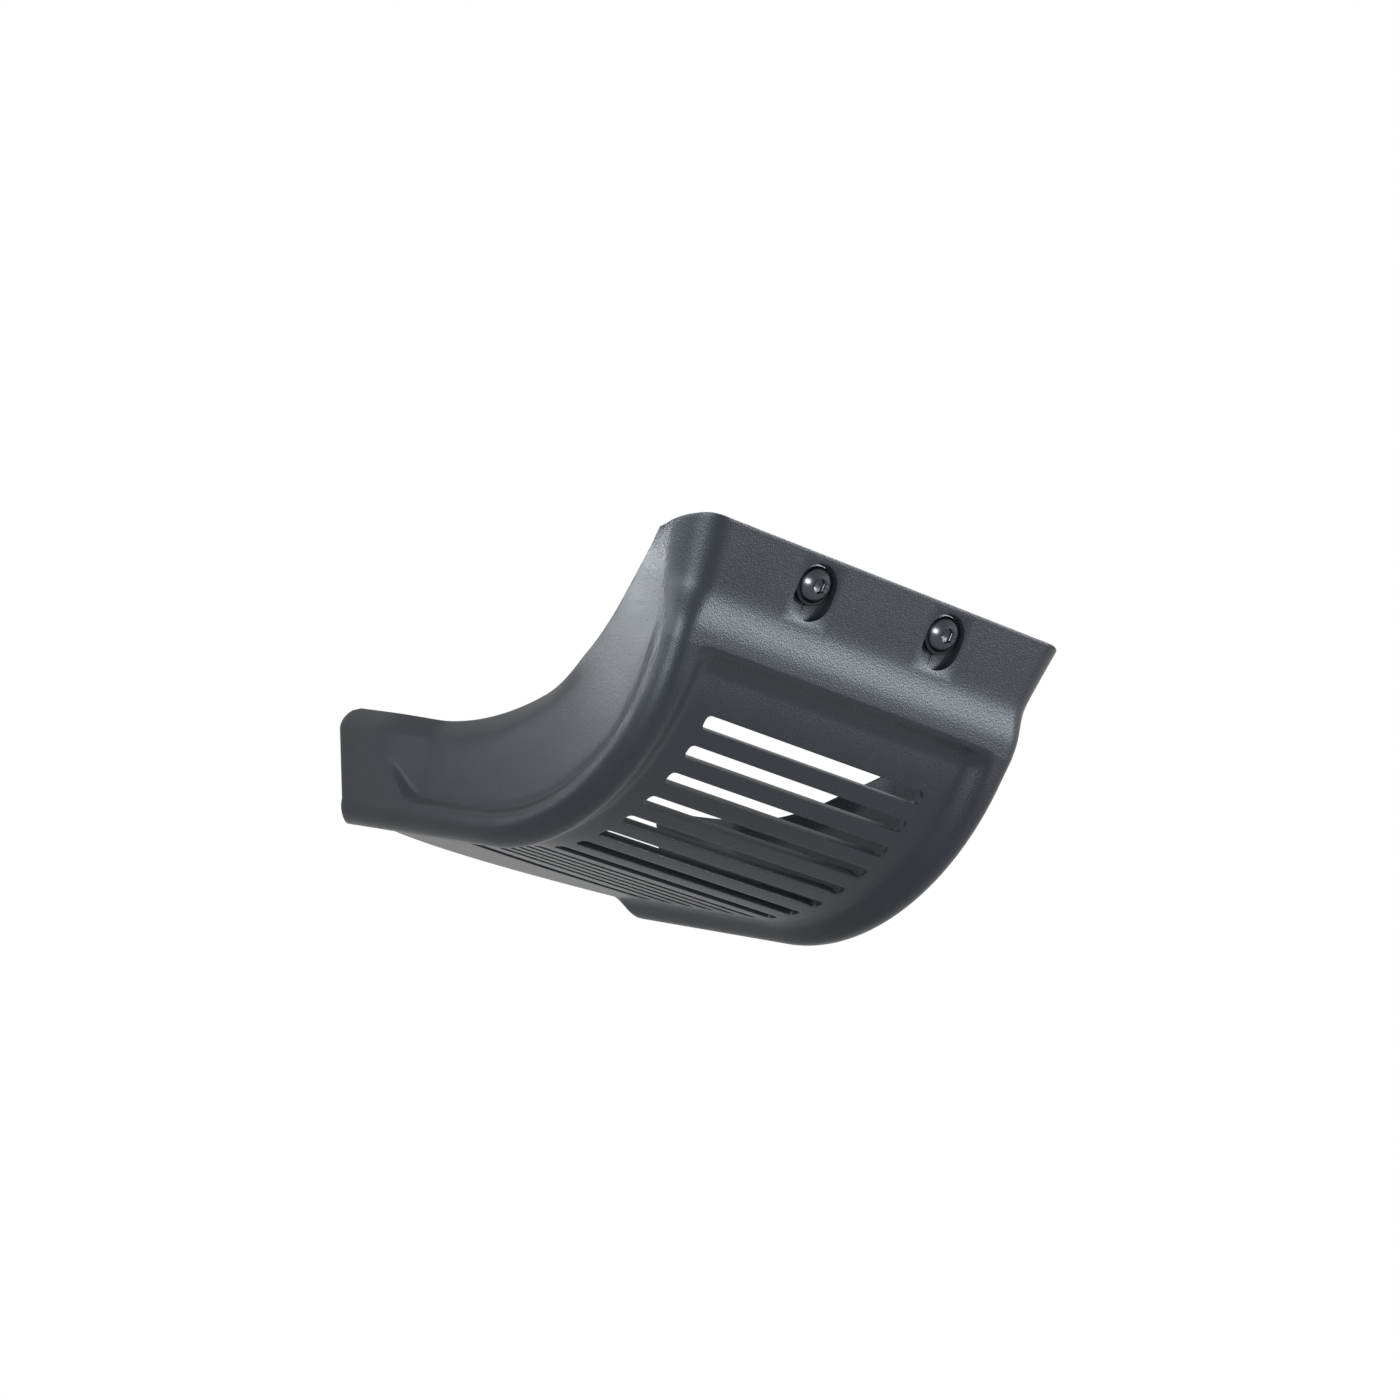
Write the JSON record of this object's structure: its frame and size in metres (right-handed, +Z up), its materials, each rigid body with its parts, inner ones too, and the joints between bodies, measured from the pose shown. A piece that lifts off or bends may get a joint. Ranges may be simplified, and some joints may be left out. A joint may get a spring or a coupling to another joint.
{
  "type": "motorcycle skid plate",
  "caption": "Moulded engine skid plate for a motorcycle, with a slotted panel round the bend, raised ridges, scooped flanks and a front flange with domed socket screws.",
  "frame": {"origin": "the middle of the part's bounding box", "axes": "+X forwards along the motorcycle, +Y to its left, +Z up; the belly panel is parallel to the XY plane"},
  "size_m": [0.2232, 0.185, 0.1283],
  "materials": {
    "moulded_shell": "fine-grained matte charcoal moulding",
    "screw_steel": "dark grey satin coated steel",
    "washer_steel": "dark grey satin coated steel"
  },
  "bodies": {
    "root": {"skid_plate": "moulded_shell", "front_screw_right": "screw_steel", "front_screw_left": "screw_steel", "washer_right": "washer_steel", "washer_left": "washer_steel"}
  },
  "joints": []
}
